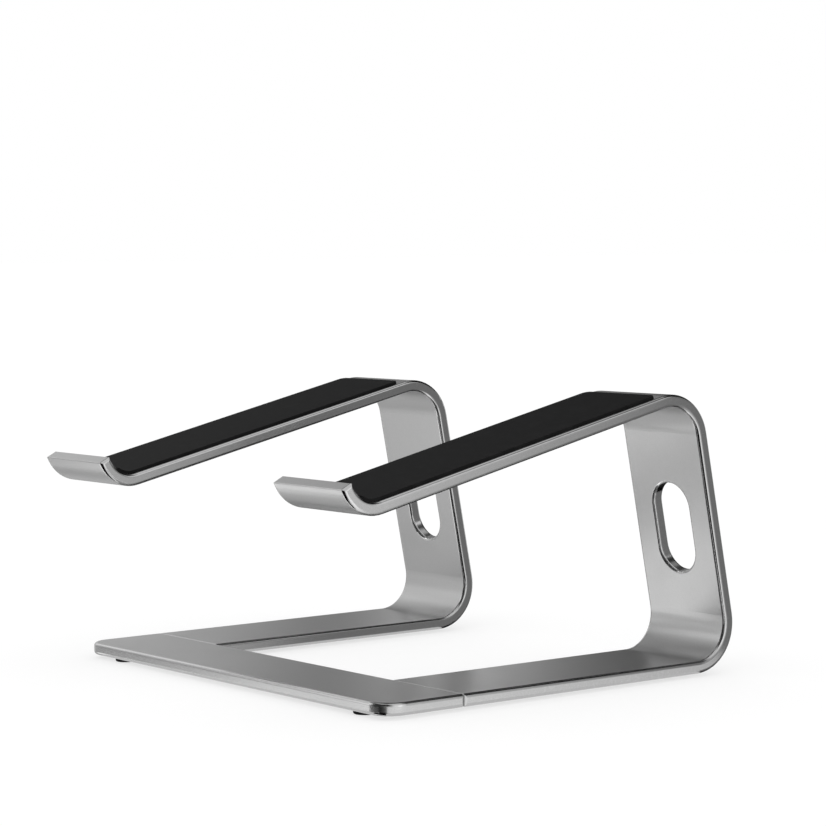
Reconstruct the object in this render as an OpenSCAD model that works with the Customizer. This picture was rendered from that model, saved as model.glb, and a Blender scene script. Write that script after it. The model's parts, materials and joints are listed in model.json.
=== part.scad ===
// Laptop stand of bent aluminium plate: two C-shaped side arms screwed to a front crossbar.
// X runs across the stand, Y from the front to the back, Z up from the table.

/* [Plate] */
// Width of the stand over both arms
stand_w = 260; // [200:1:340]
// Thickness of the aluminium plate
stock_t = 6.2; // [4.5:0.1:8]
// Rounding of the long plate edges
edge_r = 1.8; // [0.4:0.1:1.9]
// Depth by which bending draws in the surface of a bend
bend_draw = 0.02; // [0.01:0.01:0.1]

/* [Crossbar] */
// Depth of the crossbar from front to back
bar_d = 45.5; // [40:0.5:80]
// Radius of its two front corners
corner_r = 12; // [3:0.5:20]

/* [Side arms] */
// Width of each arm
arm_w = 55; // [44:0.5:75]
// Straight length of the part that lies on the table
lower_l = 147; // [110:1:200]
// Inside radius of the bend into the leg
bottom_bend_r = 17.5; // [8:0.5:24]
// Straight length of the leg
leg_l = 92; // [75:1:140]
// Forward lean of the leg from upright, in degrees
leg_lean = 10.7; // [0:0.1:16]
// Inside radius of the bend at the top of the leg
top_bend_r = 17.5; // [8:0.5:24]
// Straight length of the arm that carries the laptop
upper_l = 175.5; // [140:0.5:200]
// Fall of that arm towards the front, in degrees
arm_slope = 13; // [8:0.1:15]

/* [Front hooks] */
// Inside radius of the hook
hook_bend_r = 13; // [8:0.5:16]
// Angle through which the hook turns up
hook_turn = 76; // [55:1:90]
// Straight length at the tip of the hook
prong_l = 2.5; // [2:0.5:12]
// Rounding of the edges at its end face
tip_edge_r = 0.6; // [0.2:0.1:1.5]

/* [Leg slots] */
// Width of the slot in each leg
slot_w = 24.5; // [12:0.5:30]
// Length of the slot over its round ends
slot_l = 45.5; // [34:0.5:60]
// Distance from the lower end of the leg to the slot
slot_rise = 20.5; // [14:0.5:28]
// Rounding of the slot edges
slot_edge_r = 1.4; // [0.2:0.1:1.8]

/* [Lap joints] */
// Length of the tongue that runs under the crossbar
lap_l = 28; // [22:1:30]
// Thickness of the tongue
lap_t = 2.7; // [2.2:0.1:3]
// Distance of the tongue from each side of its arm
lap_inset = 8; // [5:0.5:10]
// Radius of the tongue's corners
lap_corner_r = 3; // [1:0.5:5]
// Clearance around the tongue in its pocket
lap_gap = 0.2; // [0.1:0.05:0.4]
// Width of the seam between crossbar and arm
seam_gap = 0.2; // [0.05:0.05:0.4]
// Rounding of the crossbar's rear edge and of the arm's end beside it
seam_edge_r = 0.8; // [0.2:0.1:1]
// Rounding of the upright edges at the seam
seam_corner_r = 1.5; // [0.2:0.1:2.5]

/* [Joint screws] */
// Shank diameter
screw_d = 4; // [3:0.5:5]
// Head diameter
screw_head_d = 7.4; // [6:0.1:8]
// Height of the countersunk head
screw_head_h = 1.7; // [1.2:0.1:1.9]
// Length of the whole screw
screw_l = 4.4; // [3.8:0.1:4.4]
// Distance between the two screws of a joint
screw_pitch = 22; // [14:1:23]
// Width of the hexagon socket across its flats
screw_key = 2.5; // [2:0.1:3]
// Depth of the hexagon socket
screw_key_depth = 1.3; // [0.8:0.1:1.6]
// Clearance around the shank and the head
screw_gap = 0.1; // [0.05:0.05:0.2]

/* [Rubber feet] */
// Diameter of each foot
foot_d = 11; // [8:0.5:14]
// Thickness of each foot
foot_t = 2; // [1.6:0.1:4]
// Slope at the lower rim of each foot
foot_rim = 0.5; // [0.2:0.1:0.8]
// Distance of the front feet from the front edge
front_foot_y = 8.5; // [7.5:0.5:9]
// Distance of every foot from the side of the stand
foot_side = 26.5; // [20:0.5:35]
// Distance of the rear feet from the start of the bend
rear_foot_inset = 12; // [8:1:40]

/* [Rubber pads] */
// Thickness of the pad on each arm
pad_t = 1.5; // [1:0.1:3]
// Bare metal left on each side of the pad
pad_margin = 2; // [1.9:0.1:8]
// Bare metal between the pad and the top bend
pad_end_gap = 3; // [0:0.5:20]
// Angle of the hook that the pad lines
pad_wrap = 48; // [10:1:54]
// Radius of the pad's rear corners
pad_corner_r = 4; // [1:0.5:8]

/* [Hidden] */
$fn = 96;
// How far a cutting tool reaches past the face it cuts
over = 1;
// Angle by which a bend reaches into the straight lengths beside it
lead_in = 1;

half_w = stand_w / 2;
arm_x = half_w - arm_w;
arm_mid_x = half_w - arm_w / 2;
lap_w = arm_w - 2 * lap_inset;
screw_y = bar_d - lap_l / 2;

// Headings of the plate in side view: 0 runs to the back, 90 straight up and 180 to the front
leg_dir = 90 + leg_lean;
upper_dir = 180 + arm_slope;
prong_dir = upper_dir - hook_turn;
top_turn = upper_dir - leg_dir;

// Outer radii of the two bends, and the point where the bend into the leg begins
bottom_r = bottom_bend_r + stock_t;
top_r = top_bend_r + stock_t;
bend_y = bar_d + seam_gap + lower_l;

// Depth of the stand, from the rearmost point of the bend to the foremost point of the hook's tip
function run_y(length, dir) = length * cos(dir);
function turn_y(r, from_dir, to_dir) = r * (sin(to_dir) - sin(from_dir));
hook_back_y = bend_y + turn_y(bottom_r, 0, leg_dir) + run_y(leg_l, leg_dir)
    + turn_y(top_r, leg_dir, upper_dir) + run_y(upper_l, upper_dir);
tip_y = hook_back_y - turn_y(hook_bend_r, upper_dir, prong_dir) + run_y(prong_l, prong_dir);
front_y = tip_y - (stock_t - tip_edge_r) * sin(prong_dir) - tip_edge_r * (cos(prong_dir) + 1);
back_y = bend_y + bottom_r;
mid_y = (front_y + back_y) / 2;

// Puts the finished shape where it stands: feet on the table, origin under its middle.
module in_place() translate([0, -mid_y, foot_t]) children();

// Mirrors a right-hand shape over to the left.
module on_left() mirror([1, 0, 0]) children();

// What is cut off to round a corner at the origin, with the material in the +X +Y quarter.
module corner_offcut(r) {
    difference() {
        translate([-over, -over]) square(r + over);
        translate([r, r]) circle(r);
    }
}

// A rectangle whose corners are rounded where the four flags say so:
// near the origin, on the X axis, on the Y axis, and the far one.
module round_rect(a, b, r, corners = [true, true, true, true]) {
    difference() {
        square([a, b]);
        if (corners[0]) corner_offcut(r);
        if (corners[1]) translate([a, 0]) mirror([1, 0]) corner_offcut(r);
        if (corners[2]) translate([0, b]) mirror([0, 1]) corner_offcut(r);
        if (corners[3]) translate([a, b]) rotate(180) corner_offcut(r);
    }
}

// Extrudes an [x, z] outline towards +Y.
module along_y(length) translate([0, length, 0]) rotate([90, 0, 0]) linear_extrude(length) children();

// Extrudes a [y, z] outline towards +X.
module along_x(length) rotate([90, 0, 90]) linear_extrude(length) children();

// A straight length of arm plate, which heads along +Y from the origin.
module plate_run(length) along_y(length) round_rect(arm_w, stock_t, edge_r);

// Carries its children to the end of a bend towards the plate's upper side.
module after_bend(angle, inside_r) {
    centre = [0, 0, stock_t + inside_r];
    translate(centre) rotate([angle, 0, 0]) translate(-centre) children();
}

// Carries its children to the end of a bend towards the plate's lower side.
module after_back_bend(angle, inside_r) {
    centre = [0, 0, -inside_r];
    translate(centre) rotate([-angle, 0, 0]) translate(-centre) children();
}

// The section of the plate in a bend, where bending has drawn it a little thinner and narrower
module drawn_section() {
    translate([bend_draw, bend_draw])
        round_rect(stock_t - 2 * bend_draw, arm_w - 2 * bend_draw, edge_r - bend_draw);
}

// Sweeps the drawn section through a bend. Its ends reach into the straight lengths beside it.
module sweep_bend(angle, inside_r) {
    rotate(-lead_in) rotate_extrude(angle = angle + 2 * lead_in)
        translate([inside_r, 0]) drawn_section();
}

// A bend towards the plate's upper side, with its children joined on at its end.
module bend_plate(angle, inside_r) {
    translate([0, 0, stock_t + inside_r]) rotate([0, 90, 0]) sweep_bend(angle, inside_r);
    after_bend(angle, inside_r) children();
}

// A bend towards the plate's lower side, with its children joined on at its end.
module back_bend_plate(angle, inside_r) {
    translate([arm_w, 0, -inside_r]) rotate([0, -90, 0]) sweep_bend(angle, inside_r);
    after_back_bend(angle, inside_r) children();
}

// Half of the slot's cross-section with rounded edges, from its centre line outwards.
module slot_half() {
    translate([0, -over]) square([slot_w / 2, stock_t + 2 * over]);
    translate([slot_w / 2, 0]) corner_offcut(slot_edge_r);
    translate([slot_w / 2, stock_t]) mirror([0, 1]) corner_offcut(slot_edge_r);
}

// The cutting tool for a leg slot, centred on the origin and long in Y.
module slot_cut() {
    straight_l = slot_l - slot_w;
    translate([0, straight_l / 2, 0]) rotate_extrude(angle = 180) slot_half();
    translate([0, -straight_l / 2, 0]) rotate(180) rotate_extrude(angle = 180) slot_half();
    translate([0, -straight_l / 2, 0]) along_y(straight_l) {
        slot_half();
        mirror([1, 0]) slot_half();
    }
}

// The tip of the hook. Its end face is flat, with two corners rounded like the long edges.
module prong() {
    intersection() {
        plate_run(prong_l);
        along_x(arm_w) round_rect(prong_l, stock_t, tip_edge_r, [false, true, false, true]);
        linear_extrude(stock_t) round_rect(arm_w, prong_l, edge_r, [false, false, true, true]);
    }
}

// What is cut off to round a plate end at the seam. The end face lies on the X axis, with the plate
// in +Y. "sides" says which of its upright edges are rounded: the near one and the far one.
module seam_offcut(width, sides) {
    translate([-over, 0, 0]) along_x(width + 2 * over) {
        corner_offcut(seam_edge_r);
        translate([0, stock_t]) mirror([0, 1]) corner_offcut(seam_edge_r);
    }
    translate([0, 0, -over]) linear_extrude(stock_t + 2 * over) {
        if (sides[0]) corner_offcut(seam_corner_r);
        if (sides[1]) translate([width, 0]) mirror([1, 0]) corner_offcut(seam_corner_r);
    }
}

// The tongue and its pocket share this outline; "gap" widens the pocket.
module lap_outline(gap) {
    translate([arm_x + lap_inset - gap, bar_d - lap_l - gap])
        round_rect(lap_w + 2 * gap, lap_l + gap + seam_gap + over, lap_corner_r + gap,
            [true, true, false, false]);
}

// Repeats its children at the two screws of the right-hand joint.
module at_screws() {
    for (side = [-1, 1]) translate([arm_mid_x + side * screw_pitch / 2, screw_y, 0]) children();
}

// A countersunk screw seen from its head, which is flush with the plate's underside.
module screw_body(gap) {
    cylinder(h = screw_head_h, d1 = screw_head_d + 2 * gap, d2 = screw_d + 2 * gap);
    cylinder(h = screw_l + gap, d = screw_d + 2 * gap);
}

// The crossbar's right-hand end, with its rounded front corner.
module bar_end() {
    translate([half_w - corner_r, corner_r, 0]) {
        rotate(-90) rotate_extrude(angle = 90)
            round_rect(corner_r, stock_t, edge_r, [false, true, false, true]);
        along_y(bar_d - corner_r) round_rect(corner_r, stock_t, edge_r, [false, true, false, true]);
    }
}

module joint_cuts() {
    translate([0, 0, -over]) linear_extrude(lap_t + over) lap_outline(lap_gap);
    at_screws() screw_body(screw_gap);
}

module crossbar() {
    color([0.62, 0.63, 0.65]) in_place() difference() {
        union() {
            translate([corner_r - half_w, 0, 0]) along_x(stand_w - 2 * corner_r)
                round_rect(bar_d, stock_t, edge_r, [true, false, true, false]);
            bar_end();
            on_left() bar_end();
        }
        translate([-half_w, bar_d, 0]) mirror([0, 1, 0]) seam_offcut(stand_w, [true, true]);
        joint_cuts();
        on_left() joint_cuts();
    }
}

// The tongue of the right-hand arm, drilled for its screws.
module tongue() {
    difference() {
        linear_extrude(lap_t) intersection() {
            lap_outline(0);
            square([half_w, bar_d + seam_gap + seam_edge_r]);
        }
        at_screws() screw_body(screw_gap);
    }
}

module leg() {
    difference() {
        plate_run(leg_l);
        translate([arm_w / 2, slot_rise + slot_l / 2, 0]) slot_cut();
    }
}

// The run that lies on the table, from the seam to the bend.
module lower_run() {
    difference() {
        plate_run(lower_l);
        seam_offcut(arm_w, [true, true]);
    }
}

// The right-hand arm: tongue, run on the table, leg, run under the laptop and hook, in one strip.
module arm() {
    color([0.68, 0.69, 0.71]) {
        tongue();
        translate([arm_x, bar_d + seam_gap, 0]) lower_run();
        translate([arm_x, bend_y, 0]) bend_plate(leg_dir, bottom_bend_r) {
            leg();
            translate([0, leg_l, 0]) bend_plate(top_turn, top_bend_r) {
                plate_run(upper_l);
                translate([0, upper_l, 0]) back_bend_plate(hook_turn, hook_bend_r) prong();
            }
        }
    }
}

module arm_right() in_place() arm();

module arm_left() in_place() on_left() arm();

module joint_screw() {
    difference() {
        screw_body(0);
        translate([0, 0, -over])
            cylinder(h = screw_key_depth + over, d = screw_key / cos(30), $fn = 6);
    }
}

module joint_screws() {
    color([0.3, 0.3, 0.32]) in_place() {
        at_screws() joint_screw();
        on_left() at_screws() joint_screw();
    }
}

// Carries its children to the start of the upper run of the right-hand arm.
module on_upper_run() {
    translate([arm_x, bend_y, 0]) after_bend(leg_dir, bottom_bend_r)
        translate([0, leg_l, 0]) after_bend(top_turn, top_bend_r) children();
}

// The rubber strip on an arm: flat behind the hook and curved where it lines the hook.
module arm_pad() {
    pad_w = arm_w - 2 * pad_margin;
    color([0.08, 0.08, 0.08]) on_upper_run() translate([pad_margin, 0, 0]) {
        translate([0, pad_end_gap, -pad_t]) linear_extrude(pad_t)
            round_rect(pad_w, upper_l - pad_end_gap, pad_corner_r, [true, true, false, false]);
        translate([pad_w, upper_l, -hook_bend_r]) rotate([0, -90, 0])
            rotate_extrude(angle = pad_wrap)
                translate([hook_bend_r - pad_t, 0]) square([pad_t, pad_w]);
    }
}

module arm_pad_right() in_place() arm_pad();

module arm_pad_left() in_place() on_left() arm_pad();

// A stick-on rubber disc under the plate, narrower at its lower rim.
module foot(y) {
    color([0.1, 0.1, 0.1]) translate([half_w - foot_side, y, -foot_t]) {
        cylinder(h = foot_rim, d1 = foot_d - 2 * foot_rim, d2 = foot_d);
        translate([0, 0, foot_rim]) cylinder(h = foot_t - foot_rim, d = foot_d);
    }
}

module front_foot_right() in_place() foot(front_foot_y);

module front_foot_left() in_place() on_left() foot(front_foot_y);

module rear_foot_right() in_place() foot(bend_y - rear_foot_inset);

module rear_foot_left() in_place() on_left() foot(bend_y - rear_foot_inset);

crossbar();
arm_right();
arm_left();
joint_screws();
arm_pad_right();
arm_pad_left();
front_foot_right();
front_foot_left();
rear_foot_right();
rear_foot_left();
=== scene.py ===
# %% [markdown]
# # A laptop stand of bent aluminium plate
# The stand is three pieces of plate: a crossbar that lies in front, and two side arms that are each bent
# into a C. Two rubber strips carry the laptop and four rubber feet stand on the table. The shapes of the
# metal come from the CAD frame. What is left to do here is the finish of every surface, the rubber parts
# with their soft edges, and the light, because satin metal looks like whatever stands around it.

# %% Load the frame
import json
import math

import bmesh
import bpy
from mathutils import Matrix, Vector


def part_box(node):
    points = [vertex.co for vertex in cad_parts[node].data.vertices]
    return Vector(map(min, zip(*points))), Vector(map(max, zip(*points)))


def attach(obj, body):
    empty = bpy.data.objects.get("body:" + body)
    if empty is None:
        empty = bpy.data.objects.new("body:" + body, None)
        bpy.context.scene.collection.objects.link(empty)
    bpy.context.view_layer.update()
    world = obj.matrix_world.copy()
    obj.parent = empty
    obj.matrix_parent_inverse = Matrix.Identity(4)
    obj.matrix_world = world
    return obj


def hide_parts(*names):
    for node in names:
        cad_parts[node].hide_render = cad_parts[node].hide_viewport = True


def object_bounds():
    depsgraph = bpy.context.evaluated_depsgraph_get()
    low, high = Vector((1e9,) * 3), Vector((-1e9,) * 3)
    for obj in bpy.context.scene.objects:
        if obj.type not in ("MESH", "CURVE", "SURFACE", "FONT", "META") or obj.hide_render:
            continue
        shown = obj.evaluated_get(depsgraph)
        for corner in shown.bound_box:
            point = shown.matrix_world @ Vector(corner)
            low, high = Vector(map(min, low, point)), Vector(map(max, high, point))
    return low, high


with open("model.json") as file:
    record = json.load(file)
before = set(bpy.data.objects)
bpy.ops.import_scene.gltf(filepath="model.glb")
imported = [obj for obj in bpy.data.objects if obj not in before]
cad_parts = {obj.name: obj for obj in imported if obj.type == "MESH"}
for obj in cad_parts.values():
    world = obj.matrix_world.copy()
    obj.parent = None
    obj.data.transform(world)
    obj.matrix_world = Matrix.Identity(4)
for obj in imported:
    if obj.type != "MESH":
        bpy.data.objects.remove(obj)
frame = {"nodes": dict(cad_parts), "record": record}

MM = 0.001

CAD_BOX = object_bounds()
LOW, HIGH = Vector(CAD_BOX[0]), Vector(CAD_BOX[1])
MIDDLE = (LOW + HIGH) / 2
nodes = frame["nodes"]
print("nodes:", sorted(nodes))
print("overall size in mm:", [round(side / MM, 1) for side in HIGH - LOW])

# %% [markdown]
# ## Colours and nodes
# A colour is written as the hex value that a colour picker shows. Shaders calculate in linear light, so
# one function converts it. A second one adds a shader node, with its settings and its links, in one call,
# which keeps each material below as short as the list of its layers.

# %% Colour and node helpers
def linear(hex_colour):
    """The linear RGBA value of an sRGB hex colour."""
    channels = [int(hex_colour[i:i + 2], 16) / 255 for i in (1, 3, 5)]
    curve = [c / 12.92 if c <= 0.04045 else ((c + 0.055) / 1.055) ** 2.4 for c in channels]
    return (*curve, 1.0)


def add_node(material, kind, settings=None, **links):
    """Adds a node. Settings go to its sockets or properties by name; links go into its sockets."""
    node = material.node_tree.nodes.new(kind)
    for name, value in (settings or {}).items():
        if isinstance(name, int) or name in node.inputs:
            node.inputs[name].default_value = value
        else:
            setattr(node, name, value)
    for name, source in links.items():
        material.node_tree.links.new(source, node.inputs[name.replace("_", " ")])
    return node


def new_material(name):
    """An empty node material, and its output node."""
    material = bpy.data.materials.new(name)
    material.use_nodes = True
    material.node_tree.nodes.clear()
    return material, material.node_tree.nodes.new("ShaderNodeOutputMaterial")


print("white is", linear("#FFFFFF"))

# %% [markdown]
# ## Blasted and anodised aluminium
# The plate is aluminium, blasted with fine glass beads and then anodised clear. Blasting leaves dents of
# about a tenth of a millimetre, which turn the mirror of bare metal into satin: reflections stay, but
# their edges blur. The beads reach the broad faces best. The cut sides and the rounded edges were
# milled first and keep more gloss, and handling has polished them further, so they are brighter too.
# A metal is a Principled shader with metallic at 1, so the colour tints its reflection and the
# roughness says how far it blurs. Which part of a plate is a broad face shows in its normal: on an arm
# the normal of a broad face never leans along X, and on the crossbar it is straight up or down. That
# makes one mask for the roughness, the grain and the wear, with no unwrapping.

# %% Mask of the edges
# The axis to look along, and the normal's share along it where the mask begins and where it is full.
CROSSBAR_EDGE = "Z", 0.999, 0.99
ARM_EDGE = "X", 0.02, 0.10


def edge_mask(material, normal, axis, begins, full):
    """0 on the broad faces of a plate, 1 on its cut sides and rounded edges."""
    lean = add_node(material, "ShaderNodeSeparateXYZ", Vector=normal)
    share = add_node(material, "ShaderNodeMath", {"operation": "ABSOLUTE"}, Value=lean.outputs[axis])
    mask = add_node(material, "ShaderNodeMapRange", {"From Min": begins, "From Max": full},
                    Value=share.outputs["Value"])
    return mask.outputs["Result"]


print("edges: crossbar by", CROSSBAR_EDGE, "and arms by", ARM_EDGE)

# %% [markdown]
# The finish itself is a stack of three noises, one for each thing that has happened to the plate: the
# dents of the beads, the patches in which the blasting came out a little finer or coarser, and the spots
# on the edges that hands have rubbed. Each drives what it changed on the real plate. The crossbar's
# edges are a little duller than those of the arms, which softens the dark line round its front corners.

# %% Blasted and anodised aluminium
BEAD_DENT = 0.5 * MM       # real dents are about 0.1 mm; drawn coarser so that they show at all
DENT_DEPTH = 0.03 * MM
BLAST_PATCH = 18 * MM      # size of the patches in which the blasting varies
WEAR_SPOT = 1.5 * MM       # length of the spots that handling has polished along an edge
DENT_STRENGTH = 0.16, 0.06                 # of the bump, on broad faces and on edges
RUBBED_FROM, RUBBED_TO, RUBBED_SHARE = 0.52, 0.70, 0.30      # of the noise, and of the brighter colour
BLASTED_ROUGHNESS = 0.29, 0.36
CROSSBAR_EDGE_ROUGHNESS = 0.18, 0.22
ARM_EDGE_ROUGHNESS = 0.14, 0.19


def blasted_anodised_aluminium(piece, edge_place, edge_roughness):
    material, output = new_material("blasted_anodised_aluminium_" + piece)
    wire = material.node_tree.links.new
    coordinates = add_node(material, "ShaderNodeTexCoord").outputs
    edge = edge_mask(material, coordinates["Normal"], *edge_place)
    dents, patches, spots = (
        add_node(material, "ShaderNodeTexNoise", {"Scale": 1 / size, "Detail": detail},
                 Vector=coordinates["Object"]).outputs["Fac"]
        for size, detail in ((BEAD_DENT, 2.0), (BLAST_PATCH, 3.0), (WEAR_SPOT, 4.0)))
    blasted, milled = (
        add_node(material, "ShaderNodeMapRange", {"To Min": least, "To Max": most}, Value=source)
        for (least, most), source in ((BLASTED_ROUGHNESS, patches), (edge_roughness, spots)))
    roughness = add_node(material, "ShaderNodeMix", Factor=edge, A=blasted.outputs["Result"],
                         B=milled.outputs["Result"])
    # A mix of colours has its two colours at sockets 6 and 7, and its result at output 2.
    grain = add_node(material, "ShaderNodeMix",
                     {"data_type": "RGBA", 6: linear("#BEBEBE"), 7: linear("#CECECE")}, Factor=dents)
    cloud = add_node(material, "ShaderNodeMix",
                     {"data_type": "RGBA", 6: linear("#F3F3F3"), 7: linear("#FFFFFF")}, Factor=patches)
    tone = add_node(material, "ShaderNodeMix", {"data_type": "RGBA", "blend_type": "MULTIPLY", 0: 0.5})
    wire(grain.outputs[2], tone.inputs[6])
    wire(cloud.outputs[2], tone.inputs[7])
    worn = add_node(material, "ShaderNodeMapRange",
                    {"From Min": RUBBED_FROM, "From Max": RUBBED_TO, "To Max": RUBBED_SHARE}, Value=spots)
    rubbed = add_node(material, "ShaderNodeMath", {"operation": "MULTIPLY"})
    wire(worn.outputs["Result"], rubbed.inputs[0])
    wire(edge, rubbed.inputs[1])
    colour = add_node(material, "ShaderNodeMix", {"data_type": "RGBA", 7: linear("#D4D4D4")},
                      Factor=rubbed.outputs["Value"])
    wire(tone.outputs[2], colour.inputs[6])
    depth = add_node(material, "ShaderNodeMapRange",
                     {"To Min": DENT_STRENGTH[0], "To Max": DENT_STRENGTH[1]}, Value=edge)
    bump = add_node(material, "ShaderNodeBump", {"Distance": DENT_DEPTH}, Height=dents,
                    Strength=depth.outputs["Result"])
    metal = add_node(material, "ShaderNodeBsdfPrincipled", {"Metallic": 1.0},
                     Base_Color=colour.outputs[2], Roughness=roughness.outputs["Result"],
                     Normal=bump.outputs["Normal"])
    wire(metal.outputs["BSDF"], output.inputs["Surface"])
    return material


def coat(piece, material):
    """Gives a piece one finish."""
    piece.data.materials.clear()
    piece.data.materials.append(material)


coat(nodes["crossbar"],
     blasted_anodised_aluminium("crossbar", CROSSBAR_EDGE, CROSSBAR_EDGE_ROUGHNESS))
ARM_METAL = blasted_anodised_aluminium("arms", ARM_EDGE, ARM_EDGE_ROUGHNESS)
coat(nodes["arm_right"], ARM_METAL)
coat(nodes["arm_left"], ARM_METAL)
print("aluminium on crossbar and arms, dents of", BEAD_DENT / MM, "mm")

# %% [markdown]
# ## Blackened steel
# The screws under the lap joints are steel with a black oxide skin, which is thin, slightly oily and a
# little uneven. It stays a metal, but a very dark one, and it is brown where the skin has rubbed off.

# %% Blackened steel
OXIDE_SPOT = 0.8 * MM      # size of the spots in the oxide skin
OXIDE_DEPTH = 0.02 * MM


def black_oxide_steel():
    material, output = new_material("black_oxide_steel")
    place = add_node(material, "ShaderNodeTexCoord").outputs["Object"]
    spots = add_node(material, "ShaderNodeTexNoise", {"Scale": 1 / OXIDE_SPOT, "Detail": 4.0},
                     Vector=place)
    colour = add_node(material, "ShaderNodeValToRGB", Fac=spots.outputs["Fac"])
    colour.color_ramp.elements[0].position = 0.35
    colour.color_ramp.elements[0].color = linear("#2B2B2D")
    colour.color_ramp.elements[1].position = 0.75
    colour.color_ramp.elements[1].color = linear("#57534F")
    roughness = add_node(material, "ShaderNodeMapRange", {"To Min": 0.32, "To Max": 0.5},
                         Value=spots.outputs["Fac"])
    bump = add_node(material, "ShaderNodeBump", {"Strength": 0.2, "Distance": OXIDE_DEPTH},
                    Height=spots.outputs["Fac"])
    steel = add_node(material, "ShaderNodeBsdfPrincipled", {"Metallic": 1.0},
                     Base_Color=colour.outputs["Color"], Roughness=roughness.outputs["Result"],
                     Normal=bump.outputs["Normal"])
    material.node_tree.links.new(steel.outputs["BSDF"], output.inputs["Surface"])
    return material


coat(nodes["joint_screws"], black_oxide_steel())
print("black oxide on the screws")

# %% [markdown]
# ## Silicone rubber
# Strips and feet are moulded from black silicone rubber. The mould was blasted, so the skin is matt with a
# fine grain, and silicone draws lint, which shows as a faint grey bloom in patches. It is a dielectric:
# a nearly black base with a low, wide highlight.

# %% Silicone rubber
SKIN_GRAIN = 0.4 * MM      # real grain is about 0.1 mm; drawn coarser so that it shows
SKIN_DEPTH = 0.05 * MM
BLOOM_PATCH = 9 * MM       # size of the patches of lint


def moulded_silicone_rubber(name, skin, bloom):
    material, output = new_material(name)
    place = add_node(material, "ShaderNodeTexCoord").outputs["Object"]
    grain = add_node(material, "ShaderNodeTexNoise", {"Scale": 1 / SKIN_GRAIN, "Detail": 2.0},
                     Vector=place)
    patches = add_node(material, "ShaderNodeTexNoise", {"Scale": 1 / BLOOM_PATCH, "Detail": 5.0},
                       Vector=place)
    colour = add_node(material, "ShaderNodeValToRGB", Fac=patches.outputs["Fac"])
    colour.color_ramp.elements[0].position = 0.45
    colour.color_ramp.elements[0].color = linear(skin)
    colour.color_ramp.elements[1].position = 0.80
    colour.color_ramp.elements[1].color = linear(bloom)
    roughness = add_node(material, "ShaderNodeMapRange", {"To Min": 0.62, "To Max": 0.78},
                         Value=patches.outputs["Fac"])
    bump = add_node(material, "ShaderNodeBump", {"Strength": 0.35, "Distance": SKIN_DEPTH},
                    Height=grain.outputs["Fac"])
    rubber = add_node(material, "ShaderNodeBsdfPrincipled",
                      {"IOR": 1.41, "Specular IOR Level": 0.22},
                      Base_Color=colour.outputs["Color"], Roughness=roughness.outputs["Result"],
                      Normal=bump.outputs["Normal"])
    material.node_tree.links.new(rubber.outputs["BSDF"], output.inputs["Surface"])
    return material


STRIP_RUBBER = moulded_silicone_rubber("moulded_silicone_rubber_strip", "#0B0B0C", "#1A1A1B")
FOOT_RUBBER = moulded_silicone_rubber("moulded_silicone_rubber_foot", "#0D0D0E", "#1F1E1D")
print("rubber grain of", SKIN_GRAIN / MM, "mm")

# %% [markdown]
# ## The rubber strips
# Each arm carries a strip of rubber, glued down from just before the top bend to about two thirds of the
# way round the inside of the hook, so that the laptop touches rubber everywhere. It could be a beveled box
# with a bend modifier, but then the bend has to be fitted by eye. A grid laid along the strip's own path
# follows the metal exactly: one list of stations runs along the strip and another across it. The height
# over the metal falls away within a small radius of the outline, which gives every edge its soft moulded
# round.
# The path comes from the frame. The place where the laptop rests gives the slope, and the box of the
# CAD pad gives both ends.

# %% Path of a strip
STRIP_THICKNESS = 1.5 * MM
STRIP_EDGE = 0.6 * MM          # round along the upper edge
STRIP_CORNER = 4.0 * MM        # radius of the two rear corners
STRIP_FRONT_CORNER = 1.0 * MM  # radius of the two corners in the hook
HOOK_INSIDE = 13.0 * MM        # inside radius of the hook that the strip lines


def strip_path(side):
    """Where a length leads (point on the metal, normal), the straight and full length, and both sides."""
    rest = next(m for m in frame["record"]["mounts"] if m["name"] == "laptop_rest_" + side)
    normal = Vector(rest["axis"]).normalized()
    down = Vector((0, -normal.z, normal.y))
    low, high = (Vector(corner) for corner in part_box("arm_pad_" + side))
    base = Vector((0, rest["pos_m"][1], rest["pos_m"][2])) - normal * STRIP_THICKNESS
    rear = base + down * ((high.y - base.y) / down.y)
    fall = (low.z - rear.z - HOOK_INSIDE * (normal.z - 1)) / down.z
    middle = rear + down * fall + normal * HOOK_INSIDE
    lean = math.atan2(-normal.y, normal.z)
    wrap = lean + math.asin((middle.y - low.y) / HOOK_INSIDE)

    def at(length):
        if length <= fall:
            return rear + down * length, normal
        turn = lean - (length - fall) / HOOK_INSIDE
        inward = Vector((0, -math.sin(turn), math.cos(turn)))
        return middle - inward * HOOK_INSIDE, inward

    return at, fall, fall + wrap * HOOK_INSIDE, low.x, high.x


for side in ("right", "left"):
    at, fall, length, left_x, right_x = strip_path(side)
    print(side, "strip:", round(fall / MM, 1), "mm straight,", round(length / MM, 1), "mm in all,",
          round((right_x - left_x) / MM, 1), "mm wide")

# %% [markdown]
# Now the grid. Stations crowd together near the outline, where the surface turns down, and near the
# hook, where the path curves. The outline's corners are rounded by drawing the stations in.

# %% Stations and outline of a strip
NEAR_EDGE = [0, 0.04, 0.13, 0.27, 0.45, 0.65, 1.1]      # mm in from the outline
EDGE_GAP = 0.4 * MM            # other stations keep this far from the last of those
PITCH_ALONG, PITCH_ACROSS = 6 * MM, 5 * MM
CURVE_PITCH = 0.5 * MM         # where the path or the outline curves


def stations(length, pitch, extra=()):
    """Lengths from 0 to length: close together at both ends, pitch apart in between."""
    near = [mm * MM for mm in NEAR_EDGE]
    free = near[-1] + EDGE_GAP
    inner = [step * pitch for step in range(1, int(length / pitch) + 1)]
    inner = [place for place in [*inner, *extra] if free < place < length - free]
    return sorted([*near, *inner, *(length - place for place in near)])


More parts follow.
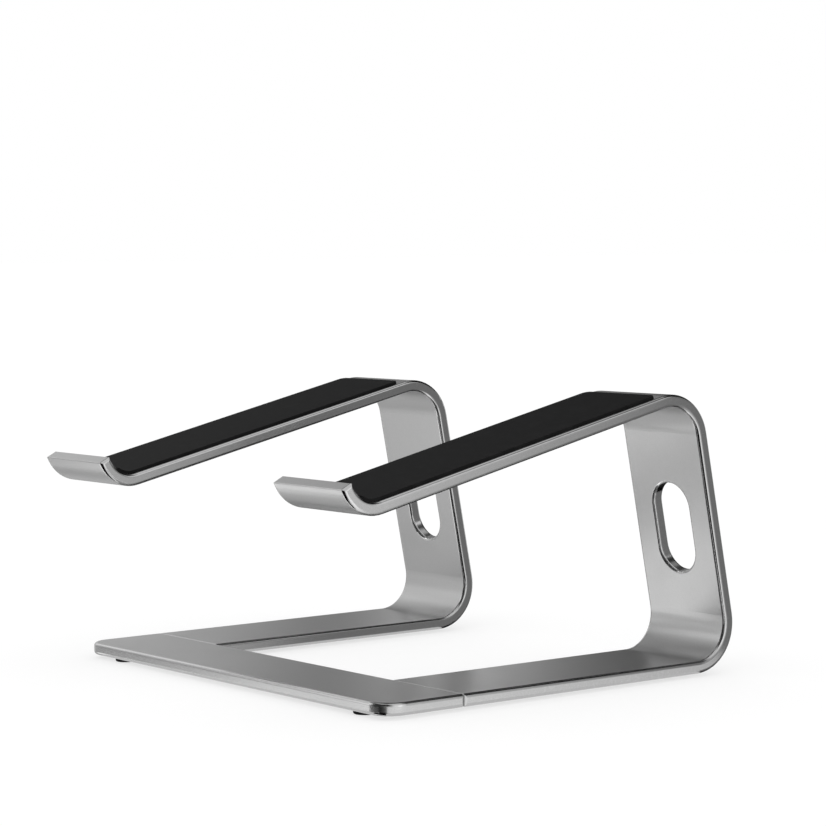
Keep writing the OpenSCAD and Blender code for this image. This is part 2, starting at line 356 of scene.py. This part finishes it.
def inside_outline(across, along, width, length):
    """How far a point lies inside the strip's outline, which has round corners."""
    corner = STRIP_CORNER if along < length / 2 else STRIP_FRONT_CORNER
    dx = max(abs(across) - (width / 2 - corner), 0)
    dy = max(corner - min(along, length - along), 0)
    if dx > 0 and dy > 0:
        return corner - math.hypot(dx, dy)
    return min(width / 2 - abs(across), min(along, length - along))


def narrowing(along, length):
    """How much the outline's corners take off each side at this station."""
    corner = STRIP_CORNER if along < length / 2 else STRIP_FRONT_CORNER
    reach = corner - min(along, length - along)
    return corner - math.sqrt(corner ** 2 - reach ** 2) if reach > 0 else 0


print("stations over 50 mm:", len(stations(50 * MM, PITCH_ACROSS)))

# %% [markdown]
# Both faces of the strip are grids over the same stations, and a rim of quads closes them. A piece of
# rubber is smooth but for its sharp lower edges, so one function shades it, coats it and puts it in the
# place of the CAD piece.

# %% Rubber strips
SHARP_ANGLE = math.radians(50)


def add_object(name, mesh):
    """Turns a bmesh into an object of the scene."""
    data = bpy.data.meshes.new(name)
    mesh.to_mesh(data)
    mesh.free()
    piece = bpy.data.objects.new(name, data)
    bpy.context.scene.collection.objects.link(piece)
    return piece


def add_rubber(name, mesh, material, node):
    """A moulded piece of rubber that takes the place of a CAD node."""
    bmesh.ops.recalc_face_normals(mesh, faces=mesh.faces)
    for face in mesh.faces:
        face.smooth = True
    piece = add_object(name, mesh)
    piece.data.set_sharp_from_angle(angle=SHARP_ANGLE)
    coat(piece, material)
    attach(piece, "root")
    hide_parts(node)
    print(name, "has", len(piece.data.vertices), "points")


def strip_height(inset):
    """The height over the metal, this far inside the outline."""
    if inset >= STRIP_EDGE:
        return STRIP_THICKNESS
    return STRIP_THICKNESS - STRIP_EDGE + math.sqrt(STRIP_EDGE ** 2 - (STRIP_EDGE - inset) ** 2)


def rubber_strip(side):
    at, fall, length, left_x, right_x = strip_path(side)
    width, middle_x = right_x - left_x, (left_x + right_x) / 2
    curve = [fall + step * CURVE_PITCH for step in range(int((length - fall) / CURVE_PITCH))]
    corner = [step * CURVE_PITCH for step in range(3, 9)]        # 1.5 to 4 mm, over the rear corners
    alongs = stations(length, PITCH_ALONG, [*curve, *corner])
    acrosses = [place - width / 2 for place in stations(width, PITCH_ACROSS)]
    mesh = bmesh.new()
    upper, lower = [], []
    for along in alongs:
        point, normal = at(along)
        share = 1 - narrowing(along, length) / (width / 2)
        upper.append([])
        lower.append([])
        for across in acrosses:
            x = across * share
            inset = max(inside_outline(x, along, width, length), 0)
            spot = Vector((middle_x + x, point.y, point.z))
            upper[-1].append(mesh.verts.new(spot + normal * strip_height(inset)))
            lower[-1].append(mesh.verts.new(spot))
    for grid in (upper, lower):
        for row, following in zip(grid, grid[1:]):
            for i in range(len(row) - 1):
                mesh.faces.new((row[i], row[i + 1], following[i + 1], following[i]))
    last_row, last_place = len(alongs) - 1, len(acrosses) - 1
    rim = [*((0, i) for i in range(last_place)), *((j, last_place) for j in range(last_row)),
           *((last_row, i) for i in range(last_place, 0, -1)), *((j, 0) for j in range(last_row, 0, -1))]
    for (a, b), (c, d) in zip(rim, rim[1:] + rim[:1]):
        mesh.faces.new((upper[a][b], lower[a][b], lower[c][d], upper[c][d]))
    add_rubber("rubber_strip_" + side, mesh, STRIP_RUBBER, "arm_pad_" + side)


for side in ("right", "left"):
    rubber_strip(side)

# %% [markdown]
# ## The feet
# The feet are small moulded discs that stick to the plate. The lower rim is round, the side bulges a
# little under the stand's weight, and a shallow dish in the sole leaves a ring to stand on. Such a turned
# shape is one outline, spun about the middle: bmesh's spin makes it in one call.

# %% Rubber feet
FOOT_OUTLINE = [  # share of the radius, share of the height over the table
    (0.0, 0.16), (0.30, 0.16), (0.46, 0.145), (0.55, 0.09), (0.60, 0.03), (0.65, 0.0), (0.83, 0.0),
    (0.885, 0.02), (0.93, 0.07), (0.965, 0.15), (0.99, 0.27), (1.0, 0.42), (1.0, 0.62), (0.99, 0.80),
    (0.975, 0.93), (0.955, 1.0), (0.6, 1.0), (0.0, 1.0)]
FOOT_STEPS = 64           # round a whole turn


def rubber_foot(place):
    low, high = (Vector(corner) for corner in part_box(place))
    middle, radius, height = (low + high) / 2, (high.x - low.x) / 2, high.z - low.z
    mesh = bmesh.new()
    outline = [mesh.verts.new((middle.x + r * radius, middle.y, low.z + z * height))
               for r, z in FOOT_OUTLINE]
    edges = [mesh.edges.new(pair) for pair in zip(outline, outline[1:])]
    bmesh.ops.spin(mesh, geom=outline + edges, cent=(middle.x, middle.y, 0), axis=(0, 0, 1),
                   angle=math.tau, steps=FOOT_STEPS, use_merge=True)
    bmesh.ops.remove_doubles(mesh, verts=mesh.verts, dist=0.001 * MM)
    add_rubber("rubber_" + place, mesh, FOOT_RUBBER, place)
    print(place, "is", round(2 * radius / MM, 1), "mm across")


for place in ("front_foot_right", "front_foot_left", "rear_foot_right", "rear_foot_left"):
    rubber_foot(place)

# %% [markdown]
# ## The floor
# The stand is seen on plain white paper. Paper is matt, so a diffuse shader takes the shadow. Half of the
# mix glows for the camera and for reflections, which brings the paper up to white without more light on
# the stand. The sheet itself is then left out of reflections, because its even white would wash the metal
# out: the dome further down holds what the metal mirrors instead.

# %% Floor
FLOOR_SIZE = 60.0         # metres, so that its end is never in sight
PAPER_GLOW_SHARE = 0.5
PAPER_GLOW = 1.36


def floor_paper():
    material, output = new_material("white_paper_floor")
    paper = add_node(material, "ShaderNodeBsdfDiffuse", {"Color": linear("#D8D8D8")})
    ray = add_node(material, "ShaderNodeLightPath")
    seen = add_node(material, "ShaderNodeMath", {"operation": "ADD"})
    level = add_node(material, "ShaderNodeMath", {"operation": "MULTIPLY", 1: PAPER_GLOW})
    glow = add_node(material, "ShaderNodeEmission", {"Color": linear("#FFFFFF")})
    lift = add_node(material, "ShaderNodeMixShader", {"Fac": PAPER_GLOW_SHARE})
    wire = material.node_tree.links.new
    wire(ray.outputs["Is Camera Ray"], seen.inputs[0])
    wire(ray.outputs["Is Glossy Ray"], seen.inputs[1])
    wire(seen.outputs["Value"], level.inputs[0])
    wire(level.outputs["Value"], glow.inputs["Strength"])
    wire(paper.outputs["BSDF"], lift.inputs[1])
    wire(glow.outputs["Emission"], lift.inputs[2])
    wire(lift.outputs["Shader"], output.inputs["Surface"])
    return material


def card(name, width, height):
    """A flat card in its own XY plane, centred on its origin."""
    x, y = width / 2, height / 2
    mesh = bmesh.new()
    mesh.faces.new([mesh.verts.new(corner) for corner in ((-x, -y, 0), (x, -y, 0), (x, y, 0), (-x, y, 0))])
    return add_object(name, mesh)


floor = card("floor", FLOOR_SIZE, FLOOR_SIZE)
floor.location = (0, 0, LOW.z)
coat(floor, floor_paper())
floor.visible_glossy = False
print("floor at", round(LOW.z / MM, 2), "mm")

# %% [markdown]
# ## What the metal mirrors
# Satin metal shows its surroundings, blurred. A studio therefore lights such a stand with cards: pale
# ones give the faces their level, and a black one in front draws a crisp dark line along every rounded
# edge. Only reflections see them; the world lights everything else. Each card is painted with a ramp of
# glows from one side to the other.

# %% Glowing paint
def glow_across(material, share, stops, start, span):
    """The glow of a ramp of stops (position, glow). Share is 0 at start and 1 a span further on."""
    brightest = max(glow for position, glow in stops)
    ramp = add_node(material, "ShaderNodeValToRGB", Fac=share)
    while len(ramp.color_ramp.elements) < len(stops):
        ramp.color_ramp.elements.new(0.5)
    for element, (position, glow) in zip(ramp.color_ramp.elements, stops):
        element.position = (position - start) / span
        element.color = (glow / brightest,) * 3 + (1,)
    level = add_node(material, "ShaderNodeMath", {"operation": "MULTIPLY", 1: brightest})
    material.node_tree.links.new(ramp.outputs["Color"], level.inputs[0])
    return level.outputs["Value"]


def stage_for_reflections(thing, material):
    """Coats a thing and shows it to reflections alone."""
    coat(thing, material)
    thing.visible_camera = False
    thing.visible_diffuse = False
    thing.visible_shadow = False
    thing.visible_transmission = False


print("glowing paint: a ramp of greys, times its brightest glow")

# %% [markdown]
# A dome of such paint stands in for everything that is far away. It has five bands, one over the other,
# and each has its own ramp round the circle. A stop is (degrees round the stand, glow): 0 is straight in
# front, 90 to its right and -90 to its left. All but the topmost are dark in front, which is the black
# card, and the three lowest have their brightest card just to the left of it.

# %% Bands of the dome
# Below the horizon: mirrored by the fronts of the legs, which lean forward, and by lower edges.
LOW_BAND = [
    (-180, 0.0), (-135, 0.03), (-126, 0.12), (-119, 0.45), (-110, 0.70), (-97, 0.60), (-78, 0.66),
    (-63, 0.60), (-57, 0.50), (-54.5, 0.66), (-53, 1.9), (-43, 2.4), (-41.5, 0.40), (-40, 0.0),
    (60, 0.0), (72, 0.90), (86, 1.30), (115, 1.10), (135, 0.25), (150, 0.0), (180, 0.0)]
# At the horizon: mirrored by everything that is upright or level.
LEVEL_BAND = [
    (-180, 1.0), (-134, 0.04), (-131.5, 0.42), (-130, 0.85), (-128.5, 1.25), (-127.5, 0.85),
    (-126.2, 0.02), (-124.5, 0.20), (-122.5, 0.58), (-119, 0.80), (-110, 0.65), (-90, 0.75),
    (-70, 0.48), (-60, 0.34), (-55.5, 0.34), (-53.5, 0.48), (-51, 0.90), (-49.5, 1.6), (-46, 2.4),
    (-43.5, 0.50), (-29, 0.17), (-12, 0.05), (7, 0.03), (19, 0.08), (31, 0.20), (43, 0.40), (55, 0.62),
    (73, 1.03), (91, 1.30), (120, 1.35), (135, 0.40), (180, 1.0)]
# Over it: mirrored by the bends and by upper edges.
UPPER_BAND = [
    (-180, 0.0), (-138, 0.03), (-132, 0.16), (-130.5, 0.34), (-128, 0.50), (-126.5, 0.16),
    (-124, 0.25), (-116, 0.45), (-105, 0.72), (-91, 1.05), (-77, 1.2), (-67, 0.70), (-58, 0.55),
    (-54, 1.1), (-50, 2.1), (-46, 2.4), (-43, 1.2), (-40, 0.05), (52, 0.05), (62, 0.80), (75, 1.05),
    (130, 1.0), (146, 0.05), (180, 0.0)]
# High up: mirrored by upper edges and by the lower round of the slots.
HIGH_BAND = [
    (-180, 0.0), (-135, 0.08), (-109, 0.18), (-91, 0.20), (-72, 0.24), (-59, 0.26), (-52, 0.20),
    (-44, 0.05), (-38, 0.0), (52, 0.0), (64, 0.70), (115, 0.90), (132, 0.15), (144, 0.0),
    (180, 0.0)]
# Overhead: the same all round, mirrored by the middle line of upper edges.
TOP_BAND = [(-180, 0.85), (180, 0.85)]
# Each after the first takes over from the one below between two heights, in degrees over the horizon.
BANDS_ABOVE = [(-15, -6, LEVEL_BAND), (10, 20, UPPER_BAND), (38, 43, HIGH_BAND), (54, 68, TOP_BAND)]
print("stops from the lowest band up:", [len(LOW_BAND), *(len(band) for _, _, band in BANDS_ABOVE)])

# %% [markdown]
# The paint reads its direction off the dome's own coordinates: the arctangent of X and Y gives the place
# on the circle, and the arcsine of Z gives the height over the horizon.

# %% Dome
DOME_RADIUS = 3.0


def dome_paint():
    material, output = new_material("studio_dome_paint")
    wire = material.node_tree.links.new
    place = add_node(material, "ShaderNodeTexCoord").outputs["Object"]
    way = add_node(material, "ShaderNodeVectorMath", {"operation": "NORMALIZE"}, Vector=place)
    parts = add_node(material, "ShaderNodeSeparateXYZ", Vector=way.outputs["Vector"])
    front = add_node(material, "ShaderNodeMath", {"operation": "MULTIPLY", 1: -1.0})
    turn = add_node(material, "ShaderNodeMath", {"operation": "ARCTAN2"})
    wire(parts.outputs["Y"], front.inputs[0])
    wire(parts.outputs["X"], turn.inputs[0])
    wire(front.outputs["Value"], turn.inputs[1])
    share = add_node(material, "ShaderNodeMapRange", {"From Min": -math.pi, "From Max": math.pi},
                     Value=turn.outputs["Value"]).outputs["Result"]
    height = add_node(material, "ShaderNodeMath", {"operation": "ARCSINE"}, Value=parts.outputs["Z"])
    blend = glow_across(material, share, LOW_BAND, -180, 360)
    for begins, full, band in BANDS_ABOVE:
        over = add_node(material, "ShaderNodeMapRange",
                        {"From Min": math.radians(begins), "From Max": math.radians(full)},
                        Value=height.outputs["Value"])
        blend = add_node(material, "ShaderNodeMix", Factor=over.outputs["Result"], A=blend,
                         B=glow_across(material, share, band, -180, 360)).outputs["Result"]
    glow = add_node(material, "ShaderNodeEmission", Strength=blend)
    wire(glow.outputs["Emission"], output.inputs["Surface"])
    return material


def studio_dome():
    mesh = bmesh.new()
    bmesh.ops.create_uvsphere(mesh, u_segments=96, v_segments=48, radius=DOME_RADIUS)
    stage_for_reflections(add_object("studio_dome", mesh), dome_paint())


studio_dome()
print("dome of", DOME_RADIUS, "m")

# %% [markdown]
# A far dome looks the same from every point of the stand, and cards that stand close by do not. They tell
# things apart that mirror the same direction. The two on the right make the arms grow darker from the
# front to the back, faces and lower edges. The low one on the left makes the right leg paler than the left
# one. The low one in front lifts both legs when they are seen from there. The last one is small and dims a
# stretch of the crossbar's front face, which would mirror the brightest card of the dome.

# %% Cards close by
def near_card(name, azimuth, distance, width, low, high, stops):
    """A flat card that faces the stand. Stops are (mm from its middle, to its own right; glow)."""
    turn = math.radians(azimuth)
    board = card(name, width, high - low)
    board.location = (distance * math.sin(turn), -distance * math.cos(turn), (low + high) / 2)
    aim = -board.location
    aim.z = 0
    board.rotation_euler = aim.to_track_quat("-Z", "Y").to_euler()
    material, output = new_material(name + "_paint")
    place = add_node(material, "ShaderNodeTexCoord").outputs["Object"]
    parts = add_node(material, "ShaderNodeSeparateXYZ", Vector=place)
    share = add_node(material, "ShaderNodeMapRange", {"From Min": -width / 2, "From Max": width / 2},
                     Value=parts.outputs["X"]).outputs["Result"]
    level = glow_across(material, share, stops, -width / 2 / MM, width / MM)
    glow = add_node(material, "ShaderNodeEmission", Strength=level)
    material.node_tree.links.new(glow.outputs["Emission"], output.inputs["Surface"])
    stage_for_reflections(board, material)
    print(name, "is", width, "m wide")


# name, degrees round the stand, distance, width, lower and upper end in metres, stops
near_card("card_right_back", 127.5, 0.45, 0.9, -0.25, 0.30,
          [(-440, 1.45), (-300, 1.45), (-213, 0.90), (-27, 0.42), (20, 0.23), (300, 0.23), (440, 0.35)])
near_card("card_low_right", 90, 0.19, 0.34, -0.035, 0.0, [(-100, 1.08), (0, 0.97), (165, 0.74)])
near_card("card_low_left", -57, 0.45, 0.39, -0.25, -0.065,
          [(-195, 0.42), (-115, 0.46), (-60, 1.0), (-15, 1.5), (90, 1.5), (150, 1.1), (195, 0.5)])
near_card("card_low_front", 0, 0.45, 0.26, -0.17, -0.07, [(-130, 0.45), (130, 0.45)])
near_card("card_front_left", -39, 0.473, 0.11, -0.055, 0.01, [(-55, 0.45), (55, 0.55)])

# %% [markdown]
# The lowest edges are a few millimetres over the paper and see nothing but paper. Narrow glowing strips
# lie on the floor for them: along the front, round the right front corner up to where the black card
# shows, and along the sides that face right. What is higher up looks past them.

# %% Paper under the lowest edges
PAPER_REACH, PAPER_UNDER = 7 * MM, 4 * MM     # how far a strip reaches out and in from the edge above
PAPER_OVER_FLOOR = 0.05 * MM
PAPER_BEFORE_REAR = 20 * MM                   # where the strips at the sides end
CROSSBAR_CORNER = 12 * MM
CORNER_TURNS = range(42, 91, 12)              # degrees round the corner, 0 at the front


def paper_strips():
    bar_low, bar_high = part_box("crossbar")
    left_arm_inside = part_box("arm_left")[1][0]
    rear, z = HIGH.y - PAPER_BEFORE_REAR, LOW.z + PAPER_OVER_FLOOR
    centre_x, centre_y = bar_high[0] - CROSSBAR_CORNER, bar_low[1] + CROSSBAR_CORNER
    mesh = bmesh.new()
    for x0, y0, x1, y1 in (
            (bar_low[0] + CROSSBAR_CORNER, bar_low[1] - PAPER_REACH, centre_x, bar_low[1] + PAPER_UNDER),
            (bar_high[0] - PAPER_UNDER, centre_y, bar_high[0] + PAPER_REACH, rear),
            (left_arm_inside - PAPER_UNDER, bar_high[1], left_arm_inside + PAPER_REACH, rear)):
        mesh.faces.new([mesh.verts.new(corner) for corner in
                        ((x0, y0, z), (x1, y0, z), (x1, y1, z), (x0, y1, z))])
    inside, outside = (
        [mesh.verts.new((centre_x + reach * math.sin(math.radians(turn)),
                         centre_y - reach * math.cos(math.radians(turn)), z)) for turn in CORNER_TURNS]
        for reach in (CROSSBAR_CORNER - PAPER_UNDER, CROSSBAR_CORNER + PAPER_REACH))
    for step in range(len(inside) - 1):
        mesh.faces.new((inside[step], outside[step], outside[step + 1], inside[step + 1]))
    print(len(mesh.faces), "pieces of glowing paper")
    material, output = new_material("paper_strips_glow")
    glow = add_node(material, "ShaderNodeEmission", {"Color": linear("#F0F0F0"), "Strength": 0.9})
    material.node_tree.links.new(glow.outputs["Emission"], output.inputs["Surface"])
    stage_for_reflections(add_object("paper_strips", mesh), material)


paper_strips()

# %% [markdown]
# ## The light
# The world is an even white. It reaches the rubber and the paper from all sides, as in a light tent, and
# leaves only a faint shadow where the plate is close to the paper.

# %% World
world = bpy.data.worlds.new("studio")
bpy.context.scene.world = world
world.use_nodes = True
world.node_tree.nodes.clear()
background = add_node(world, "ShaderNodeBackground", {"Color": linear("#FFFFFF"), "Strength": 1.0})
add_node(world, "ShaderNodeOutputWorld", Surface=background.outputs["Background"])
print("world: even white")

# %% [markdown]
# ## The camera
# A long lens at a low height looks over the right front corner, as for a catalogue picture. The camera
# is turned by its own axes: back points from the stand to the lens, and the other two are rolled a little.

# %% Camera
SENSOR, LENS = 36.0, 118.30                        # both in millimetres, as on a real camera
AZIMUTH, ELEVATION, ROLL = 52.46, 3.57, -0.55      # degrees
DISTANCE = 1350.5 * MM
AIM = Vector((MIDDLE.x + 22.6 * MM, MIDDLE.y + 2.6 * MM, LOW.z + 129.7 * MM))

azimuth, elevation, roll = (math.radians(angle) for angle in (AZIMUTH, ELEVATION, ROLL))
back = Vector((math.sin(azimuth) * math.cos(elevation), -math.cos(azimuth) * math.cos(elevation),
               math.sin(elevation)))
right = Vector((math.cos(azimuth), math.sin(azimuth), 0))
up = back.cross(right)
tilted_right = right * math.cos(roll) + up * math.sin(roll)
tilted_up = up * math.cos(roll) - right * math.sin(roll)
lens = bpy.data.cameras.new("camera")
lens.sensor_width = SENSOR
lens.lens = LENS
lens.clip_end = 100
camera = bpy.data.objects.new("camera", lens)
camera.matrix_world = Matrix((tilted_right, tilted_up, back)).transposed().to_4x4()
camera.location = AIM + back * DISTANCE
bpy.context.scene.collection.objects.link(camera)
bpy.context.scene.camera = camera
bpy.context.scene.view_settings.view_transform = "Standard"
print("camera at", [round(place, 3) for place in camera.location])
